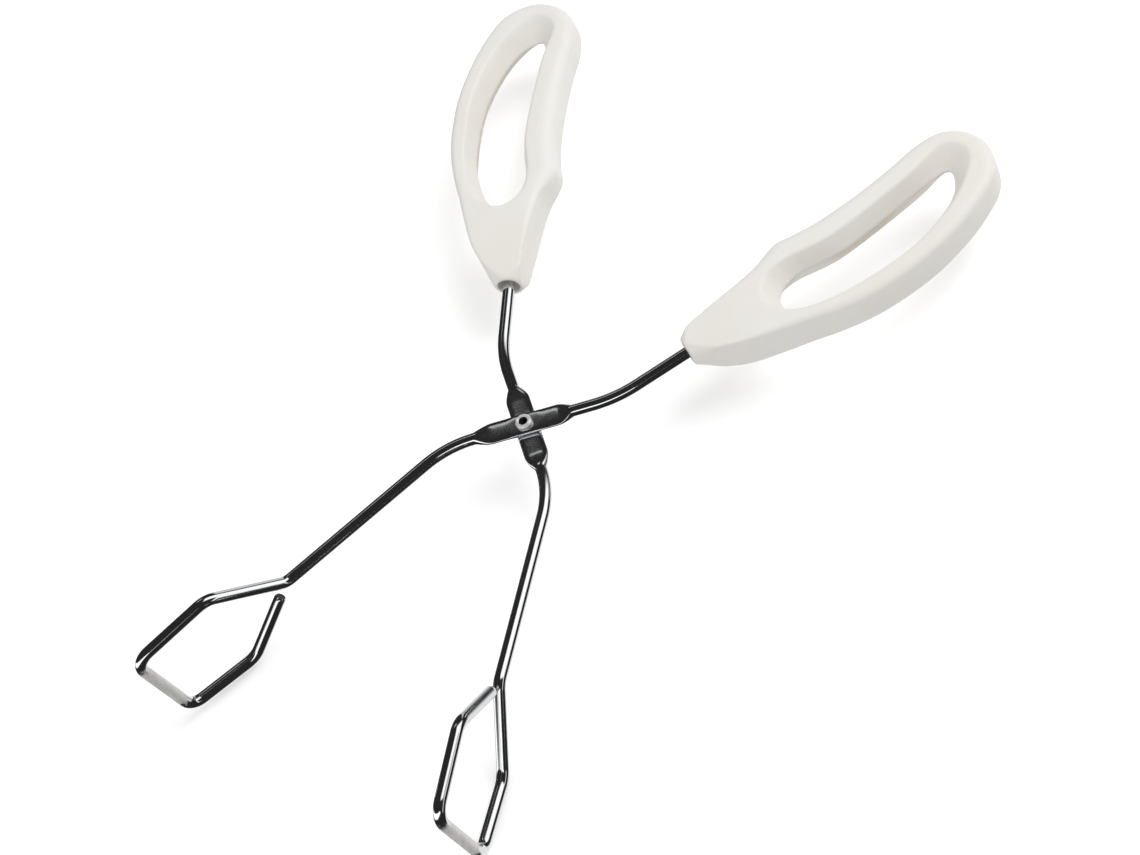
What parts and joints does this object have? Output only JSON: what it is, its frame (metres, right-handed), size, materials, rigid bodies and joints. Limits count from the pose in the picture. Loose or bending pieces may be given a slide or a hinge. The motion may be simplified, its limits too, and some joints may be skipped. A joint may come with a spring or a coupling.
{
  "type": "jar lifting tongs",
  "caption": "Scissor-action lifting tongs of bent wire: looped jaws, flattened arms crossing on a hollow rivet, and moulded finger-loop handles.",
  "frame": {"origin": "centre of the rivet, midway between the two flattened arms", "axes": "+Z along the rivet towards its rolled rim, +Y from the rivet towards the handles, +X towards the handle of the front arm"},
  "size_m": [0.2012, 0.279, 0.0446],
  "materials": {
    "chrome_wire": "polished",
    "handle_plastic": "satin",
    "rivet_metal": "bright"
  },
  "bodies": {
    "rear_arm": {"rear_arm_wire": "chrome_wire", "rear_arm_handle": "handle_plastic", "pivot_rivet": "rivet_metal"},
    "front_arm": {"front_arm_wire": "chrome_wire", "front_arm_handle": "handle_plastic"}
  },
  "joints": [
    {"name": "arm_hinge", "type": "hinge", "parent": "rear_arm", "child": "front_arm", "pos_m": [0, 0, 0], "axis": [0, 0, 1], "range_deg": [-53, 48]}
  ]
}
